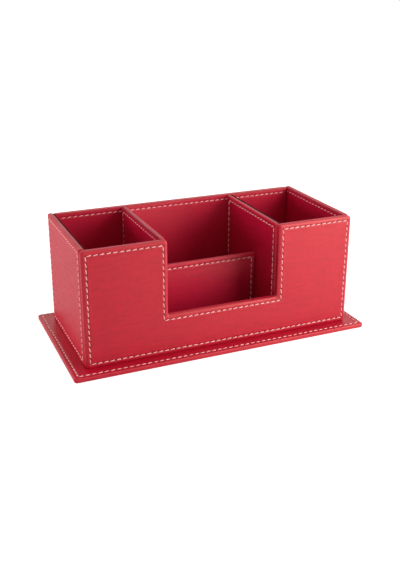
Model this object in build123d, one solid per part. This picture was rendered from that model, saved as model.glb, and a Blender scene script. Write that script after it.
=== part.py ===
from build123d import *
import os

# Desk organizer of stitched leatherette panels.
#
# Two pen cups stand either side of a middle bay. A low cross wall parts the middle bay into a rear bay and
# a front bay, and a wide notch in the front wall opens the front bay. The walls stand on a flat plinth.
#
# Every wall and the plinth is a turned-edge panel of three pieces: a stiff board, a skin that covers the
# board's outer face, wraps its edges and turns in as a hem, and a lining that covers the hem and fills the
# window inside it.
#
# Millimetres. X runs across the width, -Y is the front and +Z is up. The origin is the centre of the
# underside.

# Overall sizes
box_width = 240.0
box_depth = 108.5
wall_height = 98.9
side_overhang = 12.5
end_overhang = 12.0

# Layers of the panels
skin_thickness = 0.8
wall_board_thickness = 3.5
divider_board_thickness = 2.5
plinth_board_thickness = 2.5
lining_thickness = 0.7
felt_thickness = 0.7

# The hem, and the lining over it
hem_width = 12.0
lining_margin = 0.4

# The skin's bend round the outer rim of a board, and the flatter pressed edge on the hem's side
outer_bend = 1.2
hem_bevel = 1.0

# Corners of the skins, seen face on
panel_corner = 1.6
front_corner = 3.0
plinth_corner = 2.5
notch_rim_corner = 2.4
notch_floor_corner = 2.0

# Inside layout
bay_width = 99.5
notch_depth = 64.2
cross_wall_height = 61.6
front_bay_depth = 35.6
mat_thickness = 1.2
mat_clearance = 0.6

# Two lengths closer than this are the same length
same = 1e-4


def wrapped(board_thickness):
    """The thickness of a board with its skin on one face and its hem on the other."""
    return skin_thickness + board_thickness + skin_thickness


# Places worked out from the sizes above
wall_thickness = wrapped(wall_board_thickness) + lining_thickness
divider_thickness = wrapped(divider_board_thickness) + lining_thickness
plinth_top = felt_thickness + wrapped(plinth_board_thickness)
plinth_width = box_width + 2 * side_overhang
plinth_depth = box_depth + 2 * end_overhang
front_y = -box_depth / 2
back_y = box_depth / 2
inside_front_y = front_y + wall_thickness
inside_back_y = back_y - wall_thickness
inside_x = box_width / 2 - wall_thickness
divider_x = bay_width / 2
cross_wall_y = inside_front_y + front_bay_depth


def corners_at(plan, x, y):
    """The plan's vertices at height y, a distance x either side of the middle."""
    return [v for v in plan.vertices() if abs(abs(v.X) - x) < same and abs(v.Y - y) < same]


def rounded(plan, radius):
    """A rectangular plan with its four corners rounded."""
    return fillet(plan.vertices(), radius)


def notched_plan():
    """The front wall's plan: a rectangle whose top edge steps down to a wide notch."""
    notch_middle = wall_height / 2 - notch_depth / 2
    return Rectangle(box_width, wall_height) - Pos(0, notch_middle) * Rectangle(bay_width, notch_depth)


def rounded_notched_plan():
    """The front wall's plan with its own radius at the rim, at the notch's rim and at the notch's floor."""
    top = wall_height / 2
    plan = notched_plan()
    for x, y, radius in (
        (box_width / 2, top, front_corner),
        (box_width / 2, -top, front_corner),
        (divider_x, top, notch_rim_corner),
        (divider_x, top - notch_depth, notch_floor_corner),
    ):
        plan = fillet(corners_at(plan, x, y), radius)
    return plan


def inset(plan, distance):
    """The plan drawn in by a distance, with square corners kept square."""
    return offset(plan, -distance, kind=Kind.INTERSECTION)


def turned_panel(plan, outline, board_thickness, cover_thickness):
    """The three pieces of a panel, with the skin's outer face on the local XY plane.

    The plan is the panel's shape with square corners and the outline is the same shape with the skin's
    corners. The skin is the wrapped plate less its board and less the window that its hem leaves open. The
    lining is cut square. It lies on the hem, and the raised card on its back fills the window.
    """
    wrap = extrude(outline, -wrapped(board_thickness))
    wrap = fillet(wrap.faces().sort_by(Axis.Z)[-1].edges(), outer_bend)
    wrap = chamfer(wrap.faces().sort_by(Axis.Z)[0].edges(), hem_bevel)
    board = Pos(0, 0, -skin_thickness) * extrude(inset(outline, skin_thickness), -board_thickness)
    hem_face = Pos(0, 0, -wrapped(board_thickness))
    card = hem_face * extrude(inset(plan, hem_width), skin_thickness)
    cover = hem_face * extrude(inset(plan, lining_margin), -cover_thickness)
    return {"board": board, "skin": wrap - board - card, "lining": cover + card}


def plain_panel(width, height, corner, board_thickness, cover_thickness=lining_thickness):
    """The three pieces of a rectangular panel."""
    plan = Rectangle(width, height)
    return turned_panel(plan, rounded(plan, corner), board_thickness, cover_thickness)


def placed(panel, centre, outward, right):
    """The panel's pieces moved so that its outer face is centred on a point and faces outward."""
    location = Plane(origin=centre, x_dir=right, z_dir=outward).location
    return {layer: location * piece for layer, piece in panel.items()}


def mid_height(height):
    """The height of the middle of a wall that stands on the plinth."""
    return plinth_top + height / 2


def make_plinth():
    """The plinth, with its skin on top and felt for its lining."""
    panel = plain_panel(plinth_width, plinth_depth, plinth_corner, plinth_board_thickness, felt_thickness)
    return placed(panel, (0, 0, plinth_top), (0, 0, 1), (1, 0, 0))


def make_front():
    """The notched front wall, which covers the front ends of both sides."""
    panel = turned_panel(notched_plan(), rounded_notched_plan(), wall_board_thickness, lining_thickness)
    return placed(panel, (0, front_y, mid_height(wall_height)), (0, -1, 0), (1, 0, 0))


def make_back():
    """The back wall, held between the two sides."""
    panel = plain_panel(2 * inside_x, wall_height, panel_corner, wall_board_thickness)
    return placed(panel, (0, back_y, mid_height(wall_height)), (0, 1, 0), (-1, 0, 0))


def make_side(hand):
    """A side wall, from the front wall to the rear. hand is -1 for the left and 1 for the right."""
    panel = plain_panel(back_y - inside_front_y, wall_height, panel_corner, wall_board_thickness)
    centre = (hand * box_width / 2, (inside_front_y + back_y) / 2, mid_height(wall_height))
    return placed(panel, centre, (hand, 0, 0), (0, hand, 0))


def make_divider(hand):
    """A full-height divider. Its skin faces the middle bay and its lining faces the pen cup."""
    panel = plain_panel(inside_back_y - inside_front_y, wall_height, panel_corner, divider_board_thickness)
    centre = (hand * divider_x, (inside_front_y + inside_back_y) / 2, mid_height(wall_height))
    return placed(panel, centre, (-hand, 0, 0), (0, -hand, 0))


def make_cross_wall():
    """The low cross wall between the dividers, with its skin facing the front."""
    panel = plain_panel(bay_width, cross_wall_height, panel_corner, divider_board_thickness)
    return placed(panel, (0, cross_wall_y, mid_height(cross_wall_height)), (0, -1, 0), (1, 0, 0))


def make_mat(x_from, x_to, y_from, y_to):
    """A loose mat on the floor of one compartment, a clearance short of its walls."""
    width = x_to - x_from - 2 * mat_clearance
    depth = y_to - y_from - 2 * mat_clearance
    centre = Pos((x_from + x_to) / 2, (y_from + y_to) / 2, plinth_top + mat_thickness / 2)
    return centre * Box(width, depth, mat_thickness)


def make_mats():
    """The four floor mats, keyed by node name."""
    cup_x = divider_x + divider_thickness
    rear_bay_y = cross_wall_y + divider_thickness
    return {
        "left_cup_mat": make_mat(-inside_x, -cup_x, inside_front_y, inside_back_y),
        "right_cup_mat": make_mat(cup_x, inside_x, inside_front_y, inside_back_y),
        "front_bay_mat": make_mat(-divider_x, divider_x, inside_front_y, cross_wall_y),
        "rear_bay_mat": make_mat(-divider_x, divider_x, rear_bay_y, inside_back_y),
    }


def make_nodes():
    """Every piece of the organizer, keyed by node name."""
    panels = {
        "base": make_plinth(),
        "front": make_front(),
        "back": make_back(),
        "left_side": make_side(-1),
        "right_side": make_side(1),
        "left_divider": make_divider(-1),
        "right_divider": make_divider(1),
        "cross_wall": make_cross_wall(),
    }
    nodes = {f"{name}_{layer}": piece for name, panel in panels.items() for layer, piece in panel.items()}
    nodes["base_underside"] = nodes.pop("base_lining")
    nodes.update(make_mats())
    return nodes


os.makedirs("parts", exist_ok=True)
for node, piece in make_nodes().items():
    export_step(piece, f"parts/{node}.step")
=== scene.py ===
"""Looks of a desk organizer made of stitched leatherette panels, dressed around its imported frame.

Every wall and the plinth is a turned-edge panel: a cover that wraps a stiff board and turns in as a hem, a
lining laid over the hem, and one row of lockstitches that shows on both faces. Four felt mats lie on the
floors of the compartments.

The pieces' sizes are in millimetres up to the moment a mesh is made, which is in metres. The lamps and the
floor are in metres.
"""
import logging
import math
from dataclasses import dataclass, field
from enum import Enum

import bpy
import numpy as np
from bpy.types import Material, Mesh, Node, NodeSocket, NodeTree, Object
from mathutils import Matrix, Vector


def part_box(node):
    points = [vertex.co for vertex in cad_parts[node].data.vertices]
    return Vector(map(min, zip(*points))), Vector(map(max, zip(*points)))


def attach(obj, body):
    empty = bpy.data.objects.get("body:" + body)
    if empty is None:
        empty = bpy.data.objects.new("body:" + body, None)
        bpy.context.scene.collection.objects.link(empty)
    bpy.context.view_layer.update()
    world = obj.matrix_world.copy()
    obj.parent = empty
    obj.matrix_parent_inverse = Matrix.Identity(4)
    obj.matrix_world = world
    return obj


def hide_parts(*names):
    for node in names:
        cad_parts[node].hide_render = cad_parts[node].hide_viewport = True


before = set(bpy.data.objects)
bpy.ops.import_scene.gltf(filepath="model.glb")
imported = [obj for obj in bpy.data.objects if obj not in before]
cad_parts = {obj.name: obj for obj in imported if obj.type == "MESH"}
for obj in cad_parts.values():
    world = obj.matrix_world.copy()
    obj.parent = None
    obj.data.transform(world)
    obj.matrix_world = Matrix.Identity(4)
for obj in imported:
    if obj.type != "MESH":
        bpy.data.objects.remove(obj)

log = logging.getLogger("organizer")

MM = 0.001
BODY = "root"
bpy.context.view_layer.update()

Triple = tuple[float, float, float]
Value = NodeSocket | Triple | float | int | bool | str
Stance = tuple[Vector, Vector, Vector]


class Hand(Enum):
    """The side of the organizer that a piece stands on, seen from the front."""

    LEFT = -1
    RIGHT = 1


class Slot(Enum):
    """The record's material slots, one named on each panel for its lining."""

    LEATHERETTE = "leatherette"
    LINING = "lining"
    FELT = "felt"


class Zone(Enum):
    """The finishes on one mesh, in the order of its material slots."""

    FACE = 0
    # Dark edge inking on a lining's cut edge, and painted shade in the fold of the hem
    INK_AND_CREASE_SHADE = 1


def quarter_turn(steps: int) -> list[tuple[float, float]]:
    """The sine and cosine at equal steps through a quarter turn, both ends included."""
    angles = [step / steps * math.pi / 2 for step in range(steps + 1)]
    return [(math.sin(angle), math.cos(angle)) for angle in angles]


# ---------------------------------------------------------------------------------------------- node building


class Nodes:
    """A small writer for one node tree."""

    def __init__(self, tree: NodeTree) -> None:
        """Takes up the tree."""
        self.tree = tree

    def feed(self, target: NodeSocket, value: Value) -> None:
        """Gives a socket a link or a constant.

        Args:
            target: The input socket.
            value: A socket to link from, or what to write. A colour is three linear numbers.
        """
        if isinstance(value, NodeSocket):
            self.tree.links.new(value, target)
        elif target.type == "RGBA":
            target.default_value = (*value, 1.0)
        else:
            target.default_value = value

    def add(self, kind: str, inputs: dict[str | int, Value] | None = None, **settings: str) -> Node:
        """Adds a node.

        Args:
            kind: The node's type.
            inputs: What each of its inputs is fed, by the input's name or number.
            settings: The node's own settings.

        Returns:
            The node.
        """
        node = self.tree.nodes.new(kind)
        for name, setting in settings.items():
            setattr(node, name, setting)
        for key, value in (inputs or {}).items():
            self.feed(node.inputs[key], value)
        return node

    def math(self, operation: str, a: Value, b: Value = 0.0) -> NodeSocket:
        """One arithmetic step on two values."""
        return self.add("ShaderNodeMath", {0: a, 1: b}, operation=operation).outputs[0]

    def total(self, first: NodeSocket, *others: NodeSocket) -> NodeSocket:
        """The sum of several values.

        Args:
            first: The value to start from.
            others: The values to add, in order.

        Returns:
            The sum's socket.
        """
        for other in others:
            first = self.math("ADD", first, other)
        return first

    def vector(self, x: Value, y: Value, z: Value) -> NodeSocket:
        """A vector from three values."""
        return self.add("ShaderNodeCombineXYZ", {0: x, 1: y, 2: z}).outputs[0]

    def parts(self, vector: NodeSocket) -> tuple[NodeSocket, NodeSocket, NodeSocket]:
        """The X, Y and Z of a vector."""
        outputs = self.add("ShaderNodeSeparateXYZ", {0: vector}).outputs
        return outputs["X"], outputs["Y"], outputs["Z"]

    def spread(
        self, value: NodeSocket, low: float, high: float, to_low: float, to_high: float, **settings: str
    ) -> NodeSocket:
        """A value carried from one range to another, held inside it."""
        inputs = {"Value": value, "From Min": low, "From Max": high, "To Min": to_low, "To Max": to_high}
        return self.add("ShaderNodeMapRange", inputs, **settings).outputs["Result"]

    def rays(self) -> tuple[NodeSocket, NodeSocket]:
        """Two values: 1 for the rays that leave the camera, and 1 for those that gloss or glass sends on."""
        path = self.add("ShaderNodeLightPath").outputs
        return path["Is Camera Ray"], self.math("MAXIMUM", path["Is Glossy Ray"], path["Is Transmission Ray"])


class Shader(Nodes):
    """A writer for one material round a Principled shader.

    The numbers are those of a Mix node's colour sockets, whose names its other sockets share.
    """

    MIX_AMOUNT, MIX_FIRST, MIX_SECOND, MIX_RESULT = 0, 6, 7, 2

    def __init__(self, name: str) -> None:
        """Starts a material with a Principled shader and an output.

        Args:
            name: The material's name.
        """
        self.material = bpy.data.materials.new(name)
        self.material.use_nodes = True
        super().__init__(self.material.node_tree)
        self.tree.nodes.clear()
        self.surface = self.add("ShaderNodeBsdfPrincipled")
        self.output = self.add("ShaderNodeOutputMaterial", {"Surface": self.surface.outputs["BSDF"]})

    def coordinates(self) -> NodeSocket:
        """The object's own coordinates, in metres."""
        return self.add("ShaderNodeTexCoord").outputs["Object"]

    def panel_coordinates(self) -> NodeSocket:
        """The panel's own flat coordinates, in metres, from its UV map."""
        return self.add("ShaderNodeUVMap", uv_map=Shell.UV_NAME).outputs["UV"]

    def attribute(self, name: str, output: str = "Fac") -> NodeSocket:
        """A number stored on the mesh's points, or a vector where the output is Vector."""
        return self.add("ShaderNodeAttribute", attribute_name=name).outputs[output]

    def stretched(self, vector: NodeSocket, scale: Triple) -> NodeSocket:
        """Coordinates scaled along each axis."""
        return self.add("ShaderNodeMapping", {"Vector": vector, "Scale": scale}).outputs["Vector"]

    def noise(
        self, vector: NodeSocket, scale: float, detail: float = 2.0, roughness: float = 0.5
    ) -> NodeSocket:
        """Noise from 0 to 1: its bumps per unit, its octaves, and how strongly the finer ones show."""
        inputs = {"Vector": vector, "Scale": scale, "Detail": detail, "Roughness": roughness}
        return self.add("ShaderNodeTexNoise", inputs).outputs["Fac"]

    def cells(self, vector: NodeSocket, scale: float, smoothness: float = 0.6) -> NodeSocket:
        """The distance to the middle of soft-edged cells."""
        inputs = {"Vector": vector, "Scale": scale, "Smoothness": smoothness}
        return self.add("ShaderNodeTexVoronoi", inputs, feature="SMOOTH_F1").outputs["Distance"]

    def blend(self, amount: Value, a: Value, b: Value) -> NodeSocket:
        """Two colours mixed, where the amount is how much of the second shows."""
        inputs = {self.MIX_AMOUNT: amount, self.MIX_FIRST: a, self.MIX_SECOND: b}
        return self.add("ShaderNodeMix", inputs, data_type="RGBA").outputs[self.MIX_RESULT]

    def relief(
        self, height: NodeSocket, depth: float, strength: float, below: NodeSocket | None = None
    ) -> NodeSocket:
        """A bump from a height value.

        Args:
            height: The height, about 0 to 1.
            depth: How far 1 stands above 0, in metres.
            strength: The bump's strength.
            below: The normal of a coarser bump that this one lies on.

        Returns:
            The normal's socket.
        """
        inputs = {"Strength": strength, "Distance": depth, "Height": height}
        if below is not None:
            inputs["Normal"] = below
        return self.add("ShaderNodeBump", inputs).outputs["Normal"]

    def coat(self, inputs: dict[str, Value]) -> Material:
        """Feeds the Principled shader.

        Args:
            inputs: What each of its inputs is fed.

        Returns:
            The material.
        """
        for key, value in inputs.items():
            self.feed(self.surface.inputs[key], value)
        return self.material


# --------------------------------------------------------------------------------------------------- finishes
#
# The colours are linear. A scale is bumps per metre and a depth is in metres.


@dataclass(frozen=True)
class Leatherette:
    """Smooth pressed leatherette: fine pebble, a soft mottle, short streaks across the roll, a satin surface, a
    painted highlight on rims and bends, and painted shade in the stitch groove and the needle holes.

    The gloss tint warms the plain reflections and leaves the grazing ones white.
    """

    name: str
    colour: Triple = (0.53, 0.005, 0.030)
    shade: Triple = (0.39, 0.003, 0.021)
    # Painted highlight: a paler red laid on rims and bends where they catch the light.
    worn: Triple = (0.66, 0.075, 0.095)
    # Painted shade in the needle holes and the dimples round them.
    pierced: Triple = (0.075, 0.0018, 0.007)
    gloss_tint: Triple = (1.0, 0.92, 0.66)
    roughness: float = 0.42
    hole_roughness: float = 0.6
    ior: float = 1.45
    mottle_scale: float = 300.0
    mottle_depth: float = 0.03 * MM
    cloud_scale: float = 16.0
    pebble: float = 0.55 * MM
    pebble_depth: float = 0.035 * MM
    pore_scale: float = 3200.0
    pore_share: float = 0.3
    streaks: float = 1.0
    streak_scales: Triple = (58.0, 400.0, 1.0)
    streak_depth: float = 0.10 * MM

    def material(self) -> Material:
        """Builds the finish.

        Returns:
            The material.
        """
        s = Shader(self.name)
        place = s.coordinates()
        mottle = s.noise(place, self.mottle_scale, 3.0, 0.55)
        cloud = s.noise(place, self.cloud_scale)
        streak = s.noise(s.stretched(s.panel_coordinates(), self.streak_scales), 1.0)
        pebble = s.cells(place, 1.0 / self.pebble)
        pores = s.noise(place, self.pore_scale, 1.0)
        shaded = s.total(
            s.spread(mottle, 0.35, 0.65, 0.0, 0.34), s.spread(cloud, 0.3, 0.7, 0.0, 0.14),
            s.spread(streak, 0.35, 0.65, 0.0, 0.38 * self.streaks), s.spread(pebble, 0.25, 0.75, 0.0, 0.12),
        )
        colour = s.blend(shaded, self.colour, self.shade)
        for mark, low, high, most, tone in (
            # Painted highlight on rims and bends
            (Shell.PAINTED_HIGHLIGHT, 0.0, 1.0, 0.55, self.worn),
            # Painted shade along the stitch groove
            (Shell.GROOVE_SHADE, 0.0, 1.0, 0.55, self.shade),
            # Painted shade in and round the needle holes
            (Shell.HOLE_SHADE, 0.18, 0.75, 1.0, self.pierced),
        ):
            colour = s.blend(s.spread(s.attribute(mark), low, high, 0.0, most), colour, tone)
        gloss = s.total(
            s.spread(mottle, 0.3, 0.7, -0.035, 0.035), s.spread(streak, 0.3, 0.7, -0.03, 0.03),
            s.spread(s.attribute(Shell.HOLE_SHADE), 0.1, 0.8, self.roughness, self.hole_roughness),
        )
        normal = s.relief(mottle, self.mottle_depth, 0.6)
        normal = s.relief(streak, self.streak_depth, 0.7 * self.streaks, normal)
        normal = s.relief(pebble, self.pebble_depth, 0.7, normal)
        normal = s.relief(pores, self.pebble_depth * self.pore_share, 0.5, normal)
        return s.coat({
            "Base Color": colour, "Roughness": gloss, "IOR": self.ior, "Specular Tint": self.gloss_tint,
            "Normal": normal,
        })


@dataclass(frozen=True)
class InkedEdgeAndCreaseShade:
    """The raw edge of a lining, dark with edge inking, and the fold of the hem that it sits in, where the same
    dark is painted shade of the crease.
    """

    name: str
    ink_and_crease_shade: Triple = (0.014, 0.003, 0.005)
    fibre: Triple = (0.045, 0.012, 0.016)
    specular: float = 0.05
    lint_scale: float = 2600.0
    lint_depth: float = 0.08 * MM

    def material(self) -> Material:
        """Builds the finish.

        Returns:
            The material.
        """
        s = Shader(self.name)
        lint = s.noise(s.coordinates(), self.lint_scale, 3.0, 0.65)
        return s.coat({
            "Base Color": s.blend(s.spread(lint, 0.35, 0.75, 0.0, 1.0), self.ink_and_crease_shade, self.fibre),
            "Roughness": s.spread(lint, 0.3, 0.7, 0.75, 0.95), "Specular IOR Level": self.specular,
            "Normal": s.relief(lint, self.lint_depth, 0.8),
        })


@dataclass(frozen=True)
class Thread:
    """Twisted sewing thread, off-white with patches of red stain from the leather it is pulled through, and
    painted shade in the valleys between its plies.

    The twist is the length of one turn of the plies, in metres.
    """

    name: str
    cream: Triple = (0.97, 0.57, 0.56)
    stained_and_ply_shade: Triple = (0.88, 0.23, 0.27)
    plies: float = 2.0
    twist: float = 0.0011
    ply_depth: float = 0.09 * MM
    fuzz_scale: float = 5200.0
    fuzz_depth: float = 0.02 * MM
    patch_scale: float = 240.0
    sheen: float = 0.25
    sheen_roughness: float = 0.4

    def material(self) -> Material:
        """Builds the finish.

        Returns:
            The material.
        """
        s = Shader(self.name)
        place = s.coordinates()
        x, y, z = s.parts(s.attribute(LockstitchRow.PLY, "Vector"))
        around = s.math("MULTIPLY", s.math("ARCTAN2", y, z), self.plies)
        strand = s.math("SINE", s.math("ADD", around, s.math("MULTIPLY", x, math.tau / self.twist)))
        strand = s.spread(strand, -1.0, 1.0, 0.0, 1.0)
        fuzz = s.noise(place, self.fuzz_scale, 2.0, 0.6)
        patches = s.noise(place, self.patch_scale, 2.0, 0.6)
        # Red stain in patches, and painted shade in the valleys between the plies
        tint = s.total(s.spread(patches, 0.4, 0.75, 0.0, 0.45), s.spread(strand, 0.0, 0.6, 0.30, 0.0))
        return s.coat({
            "Base Color": s.blend(tint, self.cream, self.stained_and_ply_shade),
            "Roughness": s.spread(fuzz, 0.3, 0.7, 0.55, 0.75),
            "Sheen Weight": self.sheen, "Sheen Roughness": self.sheen_roughness,
            "Normal": s.relief(fuzz, self.fuzz_depth, 0.5, s.relief(strand, self.ply_depth, 0.9)),
        })


@dataclass(frozen=True)
class Greyboard:
    """Recycled greyboard, the stiffener inside each panel."""

    name: str
    pulp: Triple = (0.42, 0.40, 0.37)
    fleck: Triple = (0.20, 0.19, 0.18)
    fibre_scales: Triple = (300.0, 300.0, 1200.0)
    fibre_depth: float = 0.05 * MM
    fleck_scale: float = 900.0

    def material(self) -> Material:
        """Builds the finish.

        Returns:
            The material.
        """
        s = Shader(self.name)
        place = s.coordinates()
        fibres = s.noise(s.stretched(place, self.fibre_scales), 1.0, 5.0, 0.65)
        flecks = s.spread(s.noise(place, self.fleck_scale), 0.68, 0.76, 0.0, 0.7)
        tone = s.blend(s.spread(fibres, 0.35, 0.7, 0.0, 0.5), self.pulp, self.fleck)
        return s.coat({
            "Base Color": s.blend(flecks, tone, self.fleck),
            "Roughness": s.spread(fibres, 0.3, 0.7, 0.85, 0.95),
            "Normal": s.relief(fibres, self.fibre_depth, 0.6),
        })


@dataclass(frozen=True)
class Felt:
    """Thin black craft felt with matted fibres and a little lint."""

    name: str
    wool: Triple = (0.014, 0.013, 0.014)
    lint: Triple = (0.060, 0.056, 0.058)
    mat_scale: float = 900.0
    mat_depth: float = 0.12 * MM
    clump_scale: float = 160.0
    clump_depth: float = 0.10 * MM
    sheen: float = 0.35
    sheen_roughness: float = 0.6

    def material(self) -> Material:
        """Builds the finish.

        Returns:
            The material.
        """
        s = Shader(self.name)
        place = s.coordinates()
        mat = s.noise(place, self.mat_scale, 6.0, 0.72)
        clumps = s.noise(place, self.clump_scale, 3.0, 0.6)
        tone = s.total(s.spread(mat, 0.35, 0.75, 0.0, 0.6), s.spread(clumps, 0.35, 0.75, 0.0, 0.4))
        return s.coat({
            "Base Color": s.blend(tone, self.wool, self.lint), "Roughness": s.spread(mat, 0.3, 0.7, 0.85, 1.0),
            "Sheen Weight": self.sheen, "Sheen Roughness": self.sheen_roughness,
            "Normal": s.relief(mat, self.mat_depth, 0.9, s.relief(clumps, self.clump_depth, 0.6)),
        })


@dataclass(frozen=True)
class Finishes:
    """The finished materials, each built once."""

    leatherette: Material = field(default_factory=Leatherette("red_leatherette").material)
    plain_leatherette: Material = field(
        default_factory=Leatherette("plain_red_leatherette", streaks=0.25).material)
    plinth_leatherette: Material = field(
        default_factory=Leatherette("plinth_red_leatherette", roughness=0.33, streaks=0.25).material)
    # A cooler, deeper red for the pieces inside the box: painted shade, the hue of light bounced round the
    # cups.
    shade_tinted_leatherette: Material = field(default_factory=Leatherette(
        "shade_tinted_red_leatherette", colour=(0.54, 0.0055, 0.040), shade=(0.41, 0.0035, 0.029)).material)
    # The lining takes the same painted shade hue.
    lining: Material = field(default_factory=Leatherette(
        "shade_tinted_red_lining", colour=(0.59, 0.0055, 0.043), shade=(0.45, 0.0035, 0.031), roughness=0.46, streaks=0.7
    ).material)
    # Dark edge inking on lining edges, and painted shade in the folds beside them
    edge_ink_and_crease_shade: Material = field(default_factory=InkedEdgeAndCreaseShade("inked_edge_and_crease_shade").material)
    thread: Material = field(default_factory=Thread("cream_thread").material)
    greyboard: Material = field(default_factory=Greyboard("greyboard").material)
    felt: Material = field(default_factory=Felt("black_felt").material)


# ---------------------------------------------------------------------------------------------- flat outlines


@dataclass(frozen=True)
class Outline:
    """A panel's shape seen face on: a polygon of right angles with rounded corners.

    The corners run anticlockwise. A corner's radius shrinks as the outline is drawn in, down to a tight turn,
    and more slowly at a corner that points inward.
    """

    corners: tuple[tuple[float, float], ...]
    radii: tuple[float, ...]
    sewn: tuple[bool, ...]
    tightest: float = 0.45
    inner_shrink: float = 0.35
    arc_steps: int = 6

    @classmethod
    def rectangle(
        cls, width: float, height: float, radius: float, sewn: tuple[bool, ...] = (True,) * 4
    ) -> "Outline":
        """A rectangle centred on the origin, whose edges run bottom, right, top, left."""
        x, y = width / 2, height / 2
        return cls(((-x, -y), (x, -y), (x, y), (-x, y)), (radius,) * 4, sewn)

    @property
    def count(self) -> int:
        """How many corners there are."""
        return len(self.corners)

    def ahead(self) -> np.ndarray:
        """The unit vector along each edge, from its own corner to the next."""
        step = np.roll(self.drawn(), -1, axis=0) - self.drawn()
        return step / np.linalg.norm(step, axis=1, keepdims=True)

    def behind(self) -> np.ndarray:
        """The unit vector along the edge that ends at each corner."""
        return np.roll(self.ahead(), 1, axis=0)

    def turns(self) -> np.ndarray:
        """1 at each corner that points outward and -1 at each that points inward."""
        ahead, behind = self.ahead(), self.behind()
        return np.sign(behind[:, 0] * ahead[:, 1] - behind[:, 1] * ahead[:, 0])

    def drawn(self) -> np.ndarray:
        """The square corners of the outline."""
        return np.array(self.corners, float)

    def drawn_in(self, inset: float) -> np.ndarray:
        """The square corners of the outline drawn in by a distance."""
        (ax, ay), (bx, by) = self.ahead().T, self.behind().T
        return self.drawn() + inset * np.stack([-ay - by, ax + bx], axis=1)

    def radius_at(self, corner: int, inset: float) -> float:
        """The radius of a corner after the outline is drawn in.

        Args:
            corner: The corner's number.
            inset: How far the outline is drawn in.

        Returns:
            The radius.
        """
        if self.turns()[corner] > 0:
            return max(self.radii[corner] - inset, self.tightest)
        return max(self.radii[corner] - self.inner_shrink * max(inset, 0.0), 2 * self.tightest)


@dataclass(frozen=True)
class Seam:
    """A row of stitches that follows an outline at a fixed inset, with a needle hole at each corner.

    The offsets say where a ring has points round each hole, as shares of a stitch. None lies within the
    corner gap of a rounded corner.
    """

    outline: Outline
    inset: float
    pitch: float = 5.2
    offsets: tuple[float, ...] = (-0.5, -0.3, -0.14, -0.06, 0.0, 0.06, 0.14, 0.3)
    corner_gap: float = 0.2

    def lengths(self) -> np.ndarray:
        """The length of the row along each edge."""
        points = self.outline.drawn_in(self.inset)
        return np.linalg.norm(np.roll(points, -1, axis=0) - points, axis=1)

    def counts(self) -> np.ndarray:
        """The whole number of stitches along each edge."""
        return np.maximum(1, np.round(self.lengths() / self.pitch)).astype(int)

    def rows(self) -> list[np.ndarray]:
        """The needle holes along each sewn edge.

        Returns:
            The holes of each such edge in turn, both ends included.
        """
        points = self.outline.drawn_in(self.inset)
        rows = []
        for k, count in enumerate(self.counts()):
            if self.outline.sewn[k]:
                share = np.linspace(0.0, 1.0, count + 1)[:, None]
                rows.append(points[k] + share * (points[(k + 1) % self.outline.count] - points[k]))
        return rows

    def edge_shares(self, edge: int) -> np.ndarray:
        """Where a ring's points lie along an edge. They gather round the holes, so that the leather can dip.

        Args:
            edge: The edge's number.

        Returns:
            Their places along the straight part of the edge, from 0 to 1, the same for every ring.
        """
        length, count = self.lengths()[edge], self.counts()[edge]
        start = self.outline.radius_at(edge, self.inset)
        stop = length - self.outline.radius_at((edge + 1) % self.outline.count, self.inset)
        places = ((np.arange(count + 1)[:, None] + np.array(self.offsets)) / count * length).ravel()
        places = places[(places > start + self.corner_gap) & (places < stop - self.corner_gap)]
        return np.concatenate([[0.0], (places - start) / (stop - start), [1.0]])

    def ring(self, inset: float) -> np.ndarray:
        """The points of a ring round the panel.

        Args:
            inset: How far the ring is drawn in from the panel's edge.

        Returns:
            The ring's points, the same number for every inset.
        """
        shape = self.outline
        points, ahead, behind = shape.drawn_in(inset), shape.ahead(), shape.behind()
        angle = (np.arange(1, shape.arc_steps) / shape.arc_steps * math.pi / 2)[:, None]
        parts = []
        for k in range(shape.count):
            after = (k + 1) % shape.count
            radius, radius_after = shape.radius_at(k, inset), shape.radius_at(after, inset)
            middle = points[k] - radius * behind[k] + radius * ahead[k]
            parts.append(middle + radius * (-ahead[k] * np.cos(angle) + behind[k] * np.sin(angle)))
            start, stop = points[k] + radius * ahead[k], points[after] - radius_after * ahead[k]
            parts.append(start + self.edge_shares(k)[:, None] * (stop - start))
        return np.concatenate(parts)

    def sewn_share(self) -> np.ndarray:
        """Which points of a ring lie along a sewn edge.

        Returns:
            1 at the points along a sewn edge, 0 at the others, and steps between the two round a corner.
        """
        shape = self.outline
        parts = []
        for k in range(shape.count):
            before, here = float(shape.sewn[k - 1]), float(shape.sewn[k])
            parts.append(np.linspace(before, here, shape.arc_steps + 1)[1:-1])
            parts.append(np.full(len(self.edge_shares(k)), here))
        return np.concatenate(parts)


# ----------------------------------------------------------------------------------------------- shell meshes


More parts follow.
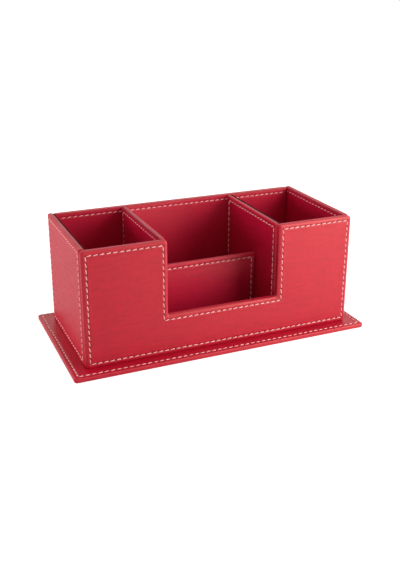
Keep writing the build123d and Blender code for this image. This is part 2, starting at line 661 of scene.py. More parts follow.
@dataclass
class Shell:
    """A closed shell drawn as rings, from the middle of its face, over its rim, to the middle of its back."""

    UV_NAME = "panel_uv"
    # Painted highlight on rims and bends
    PAINTED_HIGHLIGHT = "worn"
    # Painted shade along the stitch groove
    GROOVE_SHADE = "groove"
    # Painted shade in and round the needle holes
    HOLE_SHADE = "pierced"

    rings: list[np.ndarray] = field(default_factory=list)
    marks: list[tuple[np.ndarray, np.ndarray, np.ndarray]] = field(default_factory=list)
    zones: list[Zone] = field(default_factory=list)

    def add(
        self, flat: np.ndarray, height: np.ndarray | float, worn: np.ndarray | float = 0.0,
        groove: np.ndarray | float = 0.0, pierced: np.ndarray | float = 0.0, zone: Zone = Zone.FACE,
    ) -> None:
        """Adds the next ring.

        Args:
            flat: The ring's points seen face on.
            height: How far they stand above the face.
            worn: How much painted highlight each point takes, lighter where a rim or bend catches the light.
            groove: How deep in the stitch groove each point is, which paints shade there.
            pierced: How near each point is to a needle hole, which sets the painted shade in and round it.
            zone: The finish between this ring and the one before it.
        """
        full = np.ones(len(flat))
        self.rings.append(np.column_stack([flat, full * height]))
        self.marks.append((full * worn, full * groove, full * pierced))
        self.zones.append(zone)

    def mesh(self, name: str, place: Matrix, materials: list[Material]) -> Mesh:
        """Makes the closed mesh in its place.

        Args:
            name: The mesh's name.
            place: The matrix from the shell's own millimetres to the row's millimetres.
            materials: The finishes, in the order of the zones.

        Returns:
            The mesh, in metres.
        """
        size, total = len(self.rings[0]), len(self.rings)
        points = np.concatenate(self.rings)
        index = np.arange(size)
        ahead = np.roll(index, -1)
        quads = np.column_stack([index, index + size, ahead + size, ahead])
        faces: list[list[int]] = [index.tolist()]
        for k in range(total - 1):
            faces.extend((quads + k * size).tolist())
        faces.append((index[::-1] + (total - 1) * size).tolist())
        turned = points @ np.array(place.to_3x3()).T + np.array(place.translation)
        mesh = bpy.data.meshes.new(name)
        mesh.from_pydata((turned * MM).tolist(), [], faces)
        for material in materials:
            mesh.materials.append(material)
        zone = np.concatenate([[0]] + [np.full(size, z.value) for z in self.zones[1:]] + [[0]]).astype(np.int32)
        mesh.polygons.foreach_set("material_index", np.minimum(zone, len(materials) - 1))
        mesh.polygons.foreach_set("use_smooth", np.ones(len(faces), bool))
        for column, key in enumerate((self.PAINTED_HIGHLIGHT, self.GROOVE_SHADE, self.HOLE_SHADE)):
            layer = mesh.attributes.new(key, "FLOAT", "POINT")
            layer.data.foreach_set("value", np.concatenate([m[column] for m in self.marks]).astype(np.float32))
        corner_points = np.empty(len(mesh.loops), np.int32)
        mesh.loops.foreach_get("vertex_index", corner_points)
        uv = mesh.uv_layers.new(name=self.UV_NAME)
        uv.data.foreach_set("uv", (points[corner_points, :2] * MM).astype(np.float32).ravel())
        mesh.validate()
        mesh.update()
        return mesh


def as_piece(mesh: Mesh, replaces: str | None) -> Object:
    """Puts a mesh in the scene as a piece of the organizer.

    Args:
        mesh: The mesh, in its place, in metres. The piece takes its name.
        replaces: The node that the piece stands for.

    Returns:
        The piece.
    """
    piece = bpy.data.objects.new(mesh.name, mesh)
    bpy.context.scene.collection.objects.link(piece)
    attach(piece, BODY)
    if replaces:
        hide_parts(replaces)
    return piece


def finished_board(node: str, material: Material) -> Object:
    """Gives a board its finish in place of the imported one.

    Args:
        node: The board's node.
        material: The finish.

    Returns:
        The board.
    """
    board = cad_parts[node]
    for slot in board.material_slots:
        slot.material = material
    if not board.material_slots:
        board.data.materials.append(material)
    return board


# -------------------------------------------------------------------------------------------------- stitching


@dataclass(frozen=True)
class LockstitchRow:
    """Rows of lockstitches, one stitch on each edge of a path, made by a Geometry Nodes tree.

    The salts keep a stitch's random draws apart. The other numbers are those of a Random Value node's float
    sockets, whose names its other sockets share.
    """

    TREE = "lockstitch_row"
    PLY = "ply"
    OUTWARD = "outward"
    RUN = "run"
    SLANT_SALT, LENGTH_SALT, GIRTH_SALT = 1, 2, 3
    RANDOM_LOW, RANDOM_HIGH, RANDOM_VALUE = 2, 3, 1

    material: Material
    thread_radius: float = 0.42
    coverage: float = 0.59
    rise: float = 0.80
    dip: float = 0.55
    slant: float = math.radians(8.0)
    wobble: float = math.radians(2.5)
    lengths: tuple[float, float] = (0.95, 1.04)
    girths: tuple[float, float] = (0.92, 1.08)
    taper: float = 0.42
    taper_power: float = 3.0
    bow_steps: int = 6
    sides: int = 7
    seed: int = 11

    def strand(self, g: Nodes, given: bpy.types.NodeOutputs) -> NodeSocket:
        """One stitch of unit length, bowed up in the middle and diving into a hole at each end.

        Args:
            g: The tree's writer.
            given: The tree's inputs.

        Returns:
            The stitch's mesh, which keeps its own coordinates for the thread's plies.
        """
        half, low = 0.5 * MM, g.math("MULTIPLY", given["Dip"], -1.0)
        bow = g.add("GeometryNodeCurveQuadraticBezier", {
            "Resolution": self.bow_steps, "Start": g.vector(-half, 0.0, low),
            "Middle": g.vector(0.0, 0.0, given["Rise"]), "End": g.vector(half, 0.0, low),
        })
        along = g.add("GeometryNodeSplineParameter").outputs["Factor"]
        off_middle = g.math("ABSOLUTE", g.math("SUBTRACT", g.math("MULTIPLY", along, 2.0), 1.0))
        thinned = g.math("MULTIPLY", g.math("POWER", off_middle, self.taper_power), self.taper)
        thickness = g.math("SUBTRACT", 1.0, thinned)
        curve = g.add("GeometryNodeSetCurveRadius", {"Curve": bow.outputs[0], "Radius": thickness})
        section = g.add(
            "GeometryNodeCurvePrimitiveCircle", {"Resolution": self.sides, "Radius": given["Thread radius"]})
        tube = g.add("GeometryNodeCurveToMesh", {
            "Curve": curve.outputs[0], "Profile Curve": section.outputs[0], "Fill Caps": True,
        })
        if "Scale" in tube.inputs:
            g.feed(tube.inputs["Scale"], thickness)
        own = g.add("GeometryNodeInputPosition").outputs[0]
        kept = g.add(
            "GeometryNodeStoreNamedAttribute", {"Name": self.PLY, "Geometry": tube.outputs[0], "Value": own},
            data_type="FLOAT_VECTOR")
        return g.add("GeometryNodeSetShadeSmooth", {0: kept.outputs[0]}).outputs[0]

    def tree(self) -> NodeTree:
        """Builds the tree once and gives it back afterwards.

        Returns:
            The tree, whose inputs carry the sizes by name.
        """
        if self.TREE in bpy.data.node_groups:
            return bpy.data.node_groups[self.TREE]
        tree = bpy.data.node_groups.new(self.TREE, "GeometryNodeTree")
        sizes = [(name, "Float") for name in ("Thread radius", "Coverage", "Rise", "Dip", "Slant", "Wobble")]
        for name, kind in [("Path", "Geometry"), *sizes, ("Seed", "Int"), ("Thread", "Material")]:
            tree.interface.new_socket(name, in_out="INPUT", socket_type=f"NodeSocket{kind}")
        tree.interface.new_socket("Stitches", in_out="OUTPUT", socket_type="NodeSocketGeometry")
        g = Nodes(tree)
        given = g.add("NodeGroupInput").outputs

        def chance(low: Value, high: Value, salt: int) -> NodeSocket:
            """A random value for each stitch."""
            inputs = {
                self.RANDOM_LOW: low, self.RANDOM_HIGH: high,
                "Seed": g.math("ADD", given["Seed"], float(salt)),
            }
            return g.add("FunctionNodeRandomValue", inputs).outputs[self.RANDOM_VALUE]

        def read(name: str) -> NodeSocket:
            """A vector stored on the path."""
            return g.add("GeometryNodeInputNamedAttribute", {"Name": name}, data_type="FLOAT_VECTOR").outputs[0]

        # A point on each edge of the path, which remembers the edge's run
        ends = g.add("GeometryNodeInputMeshEdgeVertices").outputs
        run = g.add(
            "ShaderNodeVectorMath", {0: ends["Position 2"], 1: ends["Position 1"]}, operation="SUBTRACT")
        kept = g.add(
            "GeometryNodeStoreNamedAttribute",
            {"Name": self.RUN, "Geometry": given["Path"], "Value": run.outputs[0]},
            data_type="FLOAT_VECTOR", domain="EDGE")
        points = g.add("GeometryNodeMeshToPoints", {"Mesh": kept.outputs[0]}, mode="EDGES")

        # A stitch stands on the panel's face, lies along its edge of the path and slants across it
        stand = g.add("FunctionNodeAlignRotationToVector", {"Vector": read(self.OUTWARD)}, axis="Z")
        lay = g.add(
            "FunctionNodeAlignRotationToVector", {"Rotation": stand.outputs[0], "Vector": read(self.RUN)},
            axis="X", pivot_axis="Z")
        unsure = chance(g.math("MULTIPLY", given["Wobble"], -1.0), given["Wobble"], self.SLANT_SALT)
        swing = g.add("FunctionNodeAxisAngleToRotation", {
            "Axis": (0.0, 0.0, 1.0), "Angle": g.math("ADD", given["Slant"], unsure),
        })
        turn = g.add(
            "FunctionNodeRotateRotation", {"Rotation": lay.outputs[0], "Rotate By": swing.outputs[0]},
            rotation_space="LOCAL")

        # It covers its share of the edge, and its length and girth differ a little from the next one's
        length = g.add("ShaderNodeVectorMath", {0: read(self.RUN)}, operation="LENGTH").outputs["Value"]
        reach = g.math("MULTIPLY", g.math("MULTIPLY", length, given["Coverage"]), 1.0 / MM)
        reach = g.math("MULTIPLY", reach, chance(*self.lengths, self.LENGTH_SALT))
        plump = chance(*self.girths, self.GIRTH_SALT)
        place = g.add("GeometryNodeInstanceOnPoints", {
            "Points": points.outputs[0], "Instance": self.strand(g, given), "Rotation": turn.outputs[0],
            "Scale": g.vector(reach, plump, plump),
        })
        sewn = g.add("GeometryNodeRealizeInstances", {"Geometry": place.outputs[0]}).outputs[0]
        for name in (self.RUN, self.OUTWARD):
            sewn = g.add("GeometryNodeRemoveAttribute", {"Name": name, "Geometry": sewn}).outputs[0]
        dyed = g.add("GeometryNodeSetMaterial", {"Geometry": sewn, "Material": given["Thread"]})
        g.add("NodeGroupOutput", {"Stitches": dyed.outputs[0]})
        return tree

    def sew(self, name: str, points: np.ndarray, outward: np.ndarray, edges: np.ndarray) -> Mesh:
        """Sews one stitch on each edge of a path.

        Args:
            name: The mesh's name.
            points: The needle holes, in the row's millimetres.
            outward: The direction that the panel's face looks in at each hole.
            edges: Pairs of holes with a stitch between them.

        Returns:
            The stitches as one plain mesh, in metres.
        """
        path = bpy.data.meshes.new(name + "_path")
        path.from_pydata((points * MM).tolist(), edges.tolist(), [])
        layer = path.attributes.new(self.OUTWARD, "FLOAT_VECTOR", "POINT")
        layer.data.foreach_set("vector", outward.astype(np.float32).ravel())
        holder = bpy.data.objects.new(name + "_path", path)
        bpy.context.scene.collection.objects.link(holder)
        modifier = holder.modifiers.new("stitches", "NODES")
        modifier.node_group = self.tree()
        values = {
            "Thread radius": self.thread_radius * MM, "Coverage": self.coverage, "Rise": self.rise * MM,
            "Dip": self.dip * MM, "Slant": self.slant, "Wobble": self.wobble, "Seed": self.seed,
            "Thread": self.material,
        }
        for item in modifier.node_group.interface.items_tree:
            if item.in_out == "INPUT" and item.name in values:
                modifier[item.identifier] = values[item.name]
        graph = bpy.context.evaluated_depsgraph_get()
        mesh = bpy.data.meshes.new_from_object(
            holder.evaluated_get(graph), preserve_all_data_layers=True, depsgraph=graph)
        mesh.name = name
        holder.modifiers.remove(modifier)
        bpy.data.objects.remove(holder)
        bpy.data.meshes.remove(path)
        return mesh


# ----------------------------------------------------------------------------------------------------- panels


@dataclass(frozen=True)
class Layout:
    """The sizes that the panels share."""

    box_width: float = 240.0
    box_depth: float = 108.5
    wall_height: float = 98.9
    plinth_width: float = 265.0
    plinth_depth: float = 132.5
    plinth_top: float = 4.8
    wall_wrap: float = 5.1
    divider_wrap: float = 4.1
    lining: float = 0.7
    bay_width: float = 99.5
    notch_depth: float = 64.2
    cross_wall_height: float = 61.6
    front_bay_depth: float = 35.6

    @property
    def inside_front(self) -> float:
        """Y of the front wall's lining."""
        return -self.box_depth / 2 + self.wall_wrap + self.lining

    @property
    def inside_back(self) -> float:
        """Y of the back wall's lining."""
        return -self.inside_front

    @property
    def inside_x(self) -> float:
        """X of a side wall's lining."""
        return self.box_width / 2 - self.wall_wrap - self.lining

    def upright(self, x: float, y: float, height: float) -> Vector:
        """The middle of the face of a wall of some height that stands on the plinth."""
        return Vector((x, y, self.plinth_top + height / 2))


@dataclass
class Panel:
    """One turned-edge panel: its cover, its lining and the row of stitches through both.

    A bend is a share of the wrapped thickness, and its reach is how far in from the edge it starts. Past its
    last red step, the hem's bend takes the dark edge finish as painted shade of the crease. The thread depths
    are how far the thread's middle lies under the cover's face and under the lining's. A gap is the least room
    between a ring and the next feature.
    """

    FAR_INSETS = (9.0, 7.0)
    SEAM_OFFSETS = (2.9, 2.1, 1.45, 1.0, 0.65, 0.38, 0.18, 0.0, -0.18, -0.38, -0.65, -1.0, -1.35)
    CUT_PROFILE = ((0.16, 0.0), (0.04, -0.04), (0.0, -0.10))

    name: str
    finishes: Finishes
    seam_inset: float
    layout: Layout = field(default_factory=Layout)
    wrap: float = Layout.wall_wrap
    skin_thickness: float = 0.8
    hem_width: float = 12.0
    lining_margin: float = 0.4

    field_inset: float = 13.5
    field_gap: float = 0.5
    bend_gap: float = 0.1
    cut_gap: float = 0.2
    ridge: float = 0.10
    ridge_offset: float = 1.45
    ridge_width: float = 0.75
    unsewn_ridge: float = 0.4
    groove_depth: float = 0.26
    groove_width: float = 0.62
    dimple_depth: float = 0.40
    dimple_width: float = 0.50
    dimple_reach: float = 4.0
    lining_groove: float = 0.8
    lining_dimple: float = 0.7
    # How much of the painted shade round the needle holes the lining takes.
    lining_hole_shade: float = 0.45
    thread_depths: tuple[float, float] = (0.14, 0.26)

    outer_bend: float = 0.22
    outer_reach: float = 1.2
    outer_steps: int = 8
    crown: float = 0.15
    crown_share: float = 0.5
    hem_bend: float = 0.30
    hem_reach: float = 1.3
    hem_steps: int = 6
    crease_inset: float = 3.0
    bend_highlight: float = 1.2
    rim_highlight: float = 0.05
    inked_and_crease_shaded: bool = True
    last_red_step: int = 2

    cover_finish: Material | None = None
    lining_node: str = ""
    lining_slot: Slot = Slot.LINING
    lining_name: str = ""

    @property
    def ink_and_crease_shade(self) -> Zone:
        """The finish of the lining's cut edge, dark with edge inking, and of the fold beside it, painted dark
        as the crease's shade.
        """
        return Zone.INK_AND_CREASE_SHADE if self.inked_and_crease_shaded else Zone.FACE

    def outline(self) -> Outline:
        """The panel's shape, face on."""
        raise NotImplementedError

    def stance(self) -> Stance:
        """The middle of the cover's face, the direction it faces, and the direction of the outline's X."""
        raise NotImplementedError

    def seam(self) -> Seam:
        """The row of stitches."""
        return Seam(self.outline(), self.seam_inset)

    def cover_place(self) -> Matrix:
        """The matrix from the cover's own millimetres, with +Z out of its face, to the row's."""
        centre, out, across = self.stance()
        return Matrix.Translation(centre) @ Matrix((across, out.cross(across), out)).transposed().to_4x4()

    def lining_place(self) -> Matrix:
        """The matrix from the lining's own millimetres, with +Z out of its face, to the row's."""
        behind = Matrix.Translation((0.0, 0.0, -self.wrap - self.layout.lining))
        return self.cover_place() @ behind @ Matrix.Rotation(math.pi, 4, "Y")

    def sewn_ring(
        self, seam: Seam, inset: float, relief: Triple
    ) -> tuple[np.ndarray, np.ndarray, np.ndarray, np.ndarray]:
        """A ring of a sewn face, pulled down along its stitches and into its needle holes.

        Args:
            seam: The row of stitches.
            inset: The ring's inset.
            relief: How far the leather stands up either side of the row, how deep the row lies, and how much
                deeper each needle hole is.

        Returns:
            The ring's points, their heights, how deep in the groove each is, and how near a hole.
        """
        ridge, groove, dimple = relief
        flat, sewn, off = seam.ring(inset), seam.sewn_share(), inset - seam.inset
        in_groove = np.exp(-((off / self.groove_width) ** 2)) * sewn
        on_ridge = np.exp(-(((abs(off) - self.ridge_offset) / self.ridge_width) ** 2))
        on_ridge = on_ridge * (self.unsewn_ridge + (1 - self.unsewn_ridge) * sewn)
        pierced = np.zeros(len(flat))
        if abs(off) < self.dimple_reach * self.dimple_width:
            holes = np.concatenate(seam.rows())
            gaps = np.linalg.norm(flat[:, None, :] - holes[None, :, :], axis=2).min(axis=1)
            pierced = np.exp(-((gaps / self.dimple_width) ** 2))
        return flat, ridge * on_ridge - groove * in_groove - dimple * pierced, in_groove, pierced

    def face_insets(self, least: float) -> list[float]:
        """The insets of a sewn face's rings, from its middle outward.

        Args:
            least: Where the face ends.

        Returns:
            The insets, each of them past the least.
        """
        near = [self.seam_inset + offset for offset in self.SEAM_OFFSETS]
        far = [inset for inset in (self.field_inset, *self.FAR_INSETS) if inset > near[0] + self.field_gap]
        return [inset for inset in far + near if inset > least]

    def cover(self) -> Mesh:
        """The cover: its sewn face, the bend over the edge, the hem and the inside against the board.

        Returns:
            The mesh.
        """
        seam, shell = self.seam(), Shell()
        relief = (self.ridge, self.groove_depth, self.dimple_depth)
        outer, hem = self.outer_bend * self.wrap, self.hem_bend * self.wrap
        for inset in self.face_insets(self.outer_reach + self.bend_gap):
            flat, height, groove, pierced = self.sewn_ring(seam, inset, relief)
            shell.add(flat, height, groove=groove, pierced=pierced)
        # The outer bend takes a painted highlight as it turns over the edge, and the rim a little more.
        for sine, cosine in quarter_turn(self.outer_steps):
            flat, height, groove, pierced = self.sewn_ring(seam, self.outer_reach * (1 - sine), relief)
            highlighted = self.bend_highlight * sine ** 4 * cosine + self.rim_highlight * sine ** 2
            shell.add(flat, height - outer * (1 - cosine), worn=highlighted, groove=groove, pierced=pierced)
        middle = -outer - self.crown_share * (self.wrap - hem - outer)
        # The rim's crown carries its painted highlight.
        shell.add(seam.ring(-self.crown), middle, worn=self.rim_highlight)
        # Down the hem's bend the rim's painted highlight fades. Past the last red step the bend takes the dark
        # edge finish as painted shade of the crease.
        for step, (sine, cosine) in enumerate(quarter_turn(self.hem_steps)):
            shell.add(
                seam.ring(self.hem_reach * (1 - cosine)), -self.wrap + hem * (1 - sine),
                worn=self.rim_highlight * cosine ** 2, zone=self.ink_and_crease_shade if step > self.last_red_step else Zone.FACE,
            )
        # The fold where the hem meets the lining is painted dark, as the crease's shade.
        shell.add(seam.ring(self.crease_inset), -self.wrap, zone=self.ink_and_crease_shade)
        inside = self.skin_thickness
        for inset, height in (
            (self.hem_width, -self.wrap), (self.hem_width, -self.wrap + inside),
            (inside, -self.wrap + inside), (inside, -inside),
        ):
            shell.add(seam.ring(inset), height)
        finish = self.cover_finish or self.finishes.leatherette
        return shell.mesh(f"{self.name}_cover", self.cover_place(), [finish, self.finishes.edge_ink_and_crease_shade])

    def lining_sheet(self) -> Mesh:
        """The lining: its sewn face, its raw cut edge, and the raised card on its back.

        Returns:
            The mesh.
        """
        seam, shell = self.seam(), Shell()
        relief = (0.0, self.groove_depth * self.lining_groove, self.dimple_depth * self.lining_dimple)
        for inset in self.face_insets(self.lining_margin + self.cut_gap):
            flat, height, groove, pierced = self.sewn_ring(seam, inset, relief)
            shell.add(flat, height, groove=groove, pierced=self.lining_hole_shade * pierced)
        for inset, height in self.CUT_PROFILE:
            shell.add(seam.ring(self.lining_margin + inset), height)
        back = -self.layout.lining
        # The lining's raw cut edge and its back take the dark edge finish: edge inking, and painted shade where
        # it lies in the fold.
        for inset, height in (
            (self.lining_margin, back), (self.hem_width, back), (self.hem_width, back - self.skin_thickness),
        ):
            shell.add(seam.ring(inset), height, zone=self.ink_and_crease_shade)
        name = self.lining_name or f"{self.name}_lining_sheet"
        return shell.mesh(name, self.lining_place(), self.lining_finishes())

    def lining_finishes(self) -> list[Material]:
        """The lining's materials, in the order of the zones."""
        return [self.finishes.lining, self.finishes.edge_ink_and_crease_shade]

    def stitching(self) -> Mesh:
        """The stitches on both faces.

        Returns:
            The mesh.
        """
        points, outward, edges = [], [], []
        total = 0
        for place, depth in zip((self.cover_place(), self.lining_place()), self.thread_depths):
            out = np.array(place.to_3x3() @ Vector((0, 0, 1)))
            for row in self.seam().rows():
                flat = np.column_stack([row, np.full(len(row), -depth)])
                points.append(flat @ np.array(place.to_3x3()).T + np.array(place.translation))
                outward.append(np.tile(out, (len(row), 1)))
                first = total + np.arange(len(row) - 1)
                edges.append(np.column_stack([first, first + 1]))
                total += len(row)
        path = (np.concatenate(part) for part in (points, outward, edges))
        return LockstitchRow(self.finishes.thread).sew(f"{self.name}_stitching", *path)

    def dress(self) -> list[Object]:
        """Makes the panel's pieces and finishes its board.

        Returns:
            The pieces and the board.
        """
        return [
            as_piece(self.cover(), f"{self.name}_skin"),
            as_piece(self.lining_sheet(), self.lining_node or f"{self.name}_lining"),
            as_piece(self.stitching(), None),
            finished_board(f"{self.name}_board", self.finishes.greyboard),
        ]


@dataclass
class Plinth(Panel):
    """The flat plinth, with felt on its underside in place of a lining.

    The thread sinks into the felt, so that the plinth rests flat.
    """

    wrap: float = Layout.divider_wrap
    thread_depths: tuple[float, float] = (0.18, 0.62)
    corner: float = 2.5

    def outline(self) -> Outline:
        """The plinth's rectangle."""
        return Outline.rectangle(self.layout.plinth_width, self.layout.plinth_depth, self.corner)

    def stance(self) -> Stance:
        """Flat, with its cover up."""
        return Vector((0.0, 0.0, self.layout.plinth_top)), Vector((0.0, 0.0, 1.0)), Vector((1.0, 0.0, 0.0))

    def lining_finishes(self) -> list[Material]:
        """Felt all over."""
        return [self.finishes.felt]


@dataclass
class FrontWall(Panel):
    """The front wall, whose top edge steps down to a wide notch."""

    corner: float = 3.0
    rim_corner: float = 2.4
    floor_corner: float = 2.0

    def outline(self) -> Outline:
        """The notched rectangle.

        Returns:
            The outline.
        """
        x, top = self.layout.box_width / 2, self.layout.wall_height / 2
        bay, floor = self.layout.bay_width / 2, self.layout.wall_height / 2 - self.layout.notch_depth
        corners = (
            (-x, -top), (x, -top), (x, top), (bay, top), (bay, floor), (-bay, floor), (-bay, top), (-x, top),
        )
        c, r, f = self.corner, self.rim_corner, self.floor_corner
        return Outline(corners, (c, c, c, r, f, f, r, c), (True,) * 8)

    def stance(self) -> Stance:
        """At the front, facing forward."""
        centre = self.layout.upright(0.0, -self.layout.box_depth / 2, self.layout.wall_height)
        return centre, Vector((0.0, -1.0, 0.0)), Vector((1.0, 0.0, 0.0))


@dataclass
class BackWall(Panel):
    """The back wall, held between the sides and sewn along its top and bottom."""

    corner: float = 1.0

    def outline(self) -> Outline:
        """The rectangle between the sides."""
        sewn = (True, False, True, False)
        return Outline.rectangle(2 * self.layout.inside_x, self.layout.wall_height, self.corner, sewn)

    def stance(self) -> Stance:
        """At the rear, facing backward."""
        centre = self.layout.upright(0.0, self.layout.box_depth / 2, self.layout.wall_height)
        return centre, Vector((0.0, 1.0, 0.0)), Vector((-1.0, 0.0, 0.0))


@dataclass
class SideWall(Panel):
    """A side wall, from the front wall to the rear."""

    hand: Hand = Hand.LEFT
    corner: float = 1.0

    def outline(self) -> Outline:
        """The rectangle from the front wall to the rear."""
        depth = self.layout.box_depth / 2 - self.layout.inside_front
        return Outline.rectangle(depth, self.layout.wall_height, self.corner)

    def stance(self) -> Stance:
        """At its side of the box, facing away from the middle.

        Returns:
            The middle of the outer face, the direction it faces, and the direction of the outline's X.
        """
        box, side = self.layout, float(self.hand.value)
        middle = (box.box_depth / 2 + box.inside_front) / 2
        centre = box.upright(side * box.box_width / 2, middle, box.wall_height)
        return centre, Vector((side, 0.0, 0.0)), Vector((0.0, side, 0.0))


@dataclass
class Divider(Panel):
    """A full-height divider, whose cover faces the middle bay and whose lining faces its pen cup."""

    wrap: float = Layout.divider_wrap
    hand: Hand = Hand.LEFT
    corner: float = 1.0

    def outline(self) -> Outline:
        """The rectangle between the front and back walls."""
        depth = self.layout.inside_back - self.layout.inside_front
        return Outline.rectangle(depth, self.layout.wall_height, self.corner)

    def stance(self) -> Stance:
        """At its side of the middle bay, facing the bay.

        Returns:
            The middle of the face towards the bay, the direction it faces, and the direction of the
            outline's X.
        """
        side = float(self.hand.value)
        centre = self.layout.upright(side * self.layout.bay_width / 2, 0.0, self.layout.wall_height)
        return centre, Vector((-side, 0.0, 0.0)), Vector((0.0, -side, 0.0))


@dataclass
class CrossWall(Panel):
    """The low wall that parts the middle bay in two."""

    wrap: float = Layout.divider_wrap
    corner: float = 1.0

    def outline(self) -> Outline:
        """The rectangle between the dividers."""
        return Outline.rectangle(self.layout.bay_width, self.layout.cross_wall_height, self.corner)

    def stance(self) -> Stance:
        """Behind the front bay, facing forward.

        Returns:
            The middle of the front face, the direction it faces, and the direction of the outline's X.
        """
        depth = self.layout.inside_front + self.layout.front_bay_depth
        centre = self.layout.upright(0.0, depth, self.layout.cross_wall_height)
        return centre, Vector((0.0, -1.0, 0.0)), Vector((1.0, 0.0, 0.0))


@dataclass
class FloorMat:
    """A loose felt mat on the floor of one compartment."""

    FACE_INSETS = (13.0, 8.0, 4.5, 2.0, 1.0)
    FOOT_PROFILE = ((0.0, 0.2), (0.2, 0.0), (4.0, 0.0))

    node: str
    finishes: Finishes
    corner: float = 1.2
    edge: float = 0.5
    edge_steps: int = 4
    grid_inset: float = 2.0
    grid_pitch: float = 6.0
    grid_offsets: tuple[float, float] = (0.0, 0.5)
    unevenness: float = 0.07
    waves: tuple[float, float] = (0.31, 0.37)

    def sheet(self) -> Mesh:
        """The mat: a soft-edged sheet whose top is a little uneven.

        Returns:
            The mesh.
        """
        low, high = (np.array(corner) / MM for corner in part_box(self.node))
        width, depth, thickness = high - low
        shape = Outline.rectangle(width, depth, self.corner, (False,) * 4)
        seam, shell = Seam(shape, self.grid_inset, self.grid_pitch, self.grid_offsets), Shell()
        for inset in self.FACE_INSETS:
            flat = seam.ring(inset)
            wave = np.sin(flat[:, 0] * self.waves[0] + inset) * np.cos(flat[:, 1] * self.waves[1] - inset)
            shell.add(flat, thickness - self.unevenness * (1 + wave) / 2)
        for sine, cosine in quarter_turn(self.edge_steps)[1:]:
            shell.add(seam.ring(self.edge * (1 - sine)), thickness - self.edge * (1 - cosine))
        for inset, height in self.FOOT_PROFILE:
            shell.add(seam.ring(inset), height)
        place = Matrix.Translation(((low[0] + high[0]) / 2, (low[1] + high[1]) / 2, low[2]))
        return shell.mesh(f"{self.node}_felt", place, [self.finishes.felt])

    def dress(self) -> list[Object]:
        """Makes the mat and gives it back in a list."""
        return [as_piece(self.sheet(), self.node)]


# ----------------------------------------------------------------------------------------------------- studio


@dataclass(frozen=True)
class Lamp:
    """A soft rectangular lamp, in metres and watts, which gloss shows unless it isn't mirrored."""

    name: str
    place: Triple
    size: tuple[float, float]
    power: float
    mirrored: bool = True
    aim: Triple = (0.0, 0.0, 0.05)

    def hang(self) -> None:
        """Hangs the lamp and turns it to the point that it is aimed at."""
        data = bpy.data.lights.new(self.name, "AREA")
        data.shape = "RECTANGLE"
        data.size, data.size_y = self.size
        data.energy = self.power
        lamp = bpy.data.objects.new(self.name, data)
        bpy.context.scene.collection.objects.link(lamp)
        lamp.location = self.place
        lamp.visible_glossy = self.mirrored
        lamp.rotation_euler = (Vector(self.aim) - Vector(self.place)).to_track_quat("-Z", "Y").to_euler()


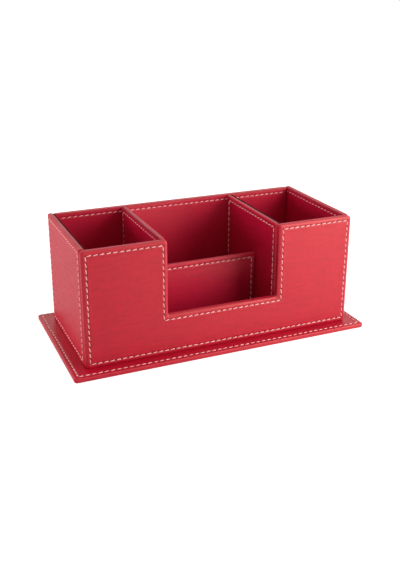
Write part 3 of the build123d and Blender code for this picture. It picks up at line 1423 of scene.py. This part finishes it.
@dataclass
class Studio:
    """A plain white sweep, soft lights and the camera.

    Gloss shows the surroundings at strength 1, falling off toward the dim side, which is the left and a
    little to the front. It shows the floor at strength 1 on the right, falling off toward the left.
    """

    WHITE = (1.0, 1.0, 1.0)
    LAMPS = (
        Lamp("key_lamp", (0.46, -0.48, 0.27), (0.5, 0.5), 5.0),
        Lamp("left_lamp", (-0.95, 0.28, 0.19), (0.8, 0.36), 6.5, mirrored=False),
        Lamp("top_lamp", (0.0, 0.15, 1.5), (1.2, 0.9), 3.0),
    )

    azimuth: float = 0.40619
    elevation: float = 0.34359
    roll: float = 0.00205
    distance: float = 693.278
    target: Triple = (1.132, 0.0, 70.960)
    focal_pixels: float = 787.765
    frame_height: int = 570
    rise: float = -35.0
    sensor: float = 36.0
    near_clip: float = 0.01
    far_clip: float = 50.0

    ambient: float = 0.365
    dim_side: Triple = (-0.96, -0.28, 0.0)
    dim_from: float = 0.05
    dim_to: float = 0.80
    dim_gloss: float = 0.10

    floor_reach: float = 4.0
    floor_steps: int = 8
    floor_greys: tuple[float, float] = (0.80, 0.82)
    floor_patches: float = 3.0
    floor_roughness: float = 0.9
    floor_glow: float = 0.78
    floor_left: float = -0.10
    floor_left_gloss: float = 0.16
    floor_right: float = 0.04
    floor_right_gloss: float = 1.0

    def camera(self) -> None:
        """Places the camera."""
        data = bpy.data.cameras.new("camera")
        data.sensor_width = self.sensor
        data.lens = self.focal_pixels / self.frame_height * self.sensor
        data.shift_y = self.rise / self.frame_height
        data.clip_start, data.clip_end = self.near_clip, self.far_clip
        camera = bpy.data.objects.new("camera", data)
        bpy.context.scene.collection.objects.link(camera)
        back = Vector((
            -math.sin(self.azimuth) * math.cos(self.elevation),
            -math.cos(self.azimuth) * math.cos(self.elevation),
            math.sin(self.elevation),
        ))
        camera.location = (Vector(self.target) + back * self.distance) * MM
        turn = (-back).to_track_quat("-Z", "Y").to_matrix() @ Matrix.Rotation(self.roll, 3, "Z")
        camera.rotation_euler = turn.to_euler()
        bpy.context.scene.camera = camera

    def surroundings(self) -> None:
        """Soft white surroundings, plain white to the eye."""
        world = bpy.data.worlds.new("studio")
        bpy.context.scene.world = world
        world.use_nodes = True
        w = Nodes(world.node_tree)
        w.tree.nodes.clear()
        camera, mirrored = w.rays()
        way = w.add("ShaderNodeTexCoord").outputs["Generated"]
        facing = w.add("ShaderNodeVectorMath", {0: way, 1: self.dim_side}, operation="DOT_PRODUCT")
        in_gloss = w.spread(
            facing.outputs["Value"], self.dim_from, self.dim_to, 1.0, self.dim_gloss,
            interpolation_type="SMOOTHSTEP")
        seen = w.math("MAXIMUM", camera, w.math("MULTIPLY", mirrored, in_gloss))
        soft = w.add("ShaderNodeBackground", {"Color": self.WHITE, "Strength": self.ambient})
        plain = w.add("ShaderNodeBackground", {"Color": self.WHITE, "Strength": seen})
        either = w.math("MAXIMUM", camera, mirrored)
        mix = w.add("ShaderNodeMixShader", {0: either, 1: soft.outputs[0], 2: plain.outputs[0]})
        w.add("ShaderNodeOutputWorld", {"Surface": mix.outputs[0]})

    def floor(self) -> None:
        """A wide pale floor that keeps the organizer's soft shadow."""
        line = np.linspace(-self.floor_reach, self.floor_reach, self.floor_steps + 1)
        count = len(line)
        corners = [row * count + column for row in range(count - 1) for column in range(count - 1)]
        mesh = bpy.data.meshes.new("floor")
        mesh.from_pydata(
            [(float(x), float(y), 0.0) for y in line for x in line], [],
            [(k, k + 1, k + count + 1, k + count) for k in corners])
        s = Shader("white_floor")
        place = s.coordinates()
        camera, mirrored = s.rays()
        patches = s.spread(s.noise(place, self.floor_patches), 0.3, 0.7, 0.0, 1.0)
        dull, bright = ((grey,) * 3 for grey in self.floor_greys)
        s.coat({
            "Base Color": s.blend(patches, dull, bright), "Roughness": self.floor_roughness,
            "Specular IOR Level": 0.0,
        })
        in_gloss = s.spread(
            s.parts(place)[0], self.floor_left, self.floor_right, self.floor_left_gloss, self.floor_right_gloss)
        to_eye = s.math("MULTIPLY", camera, self.floor_glow)
        strength = s.math("MAXIMUM", to_eye, s.math("MULTIPLY", mirrored, in_gloss))
        glow = s.add("ShaderNodeEmission", {"Strength": strength})
        both = s.add("ShaderNodeAddShader", {0: s.surface.outputs[0], 1: glow.outputs[0]})
        s.feed(s.output.inputs["Surface"], both.outputs[0])
        mesh.materials.append(s.material)
        floor = bpy.data.objects.new("floor", mesh)
        bpy.context.scene.collection.objects.link(floor)

    def build(self) -> None:
        """Sets the camera, the surroundings, the floor and the lamps."""
        bpy.context.scene.view_settings.view_transform = "Standard"
        self.camera()
        self.surroundings()
        self.floor()
        for lamp in self.LAMPS:
            lamp.hang()


# ------------------------------------------------------------------------------------------------------- main


def main() -> None:
    """Dresses every piece of the organizer and lights it."""
    logging.basicConfig(level=logging.INFO, format="%(name)s %(message)s")
    finishes = Finishes()
    # The dividers and the cross wall take the red with painted interior shade.
    plain, shade_tinted = finishes.plain_leatherette, finishes.shade_tinted_leatherette
    parts: list[Panel | FloorMat] = [
        Plinth("base", finishes, 3.7, cover_finish=finishes.plinth_leatherette, inked_and_crease_shaded=False, lining_margin=2.4,
               lining_node="base_underside", lining_slot=Slot.FELT, lining_name="base_felt"),
        FrontWall("front", finishes, 3.8, outer_reach=3.0, outer_bend=0.28, inked_and_crease_shaded=False),
        # The back wall's rim takes a strong painted highlight.
        BackWall("back", finishes, 4.1, hem_bend=0.14, hem_reach=0.7, last_red_step=6, rim_highlight=1.6),
        SideWall("left_side", finishes, 3.6, cover_finish=plain, hand=Hand.LEFT),
        SideWall("right_side", finishes, 3.6, cover_finish=plain, hand=Hand.RIGHT, last_red_step=6),
        Divider("left_divider", finishes, 3.7, cover_finish=shade_tinted, hand=Hand.LEFT, last_red_step=5),
        # The right divider's rim takes a strong painted highlight, and its whole hem bend the dark edge finish
        # as painted shade of the gap beside the rim.
        Divider("right_divider", finishes, 4.5, cover_finish=shade_tinted, hand=Hand.RIGHT, outer_bend=0.24,
                outer_reach=2.0, crown_share=0.34, hem_bend=0.16, hem_reach=0.8, rim_highlight=1.8,
                last_red_step=-1),
        CrossWall("cross_wall", finishes, 4.0, cover_finish=shade_tinted, last_red_step=5),
    ]
    mats = ("left_cup_mat", "right_cup_mat", "front_bay_mat", "rear_bay_mat")
    parts += [FloorMat(node, finishes) for node in mats]
    for part in parts:
        for piece in part.dress():
            log.info("%s: %d faces", piece.name, len(piece.data.polygons))
    Studio().build()
    log.info("dressed")


if __name__ == "__main__":
    main()
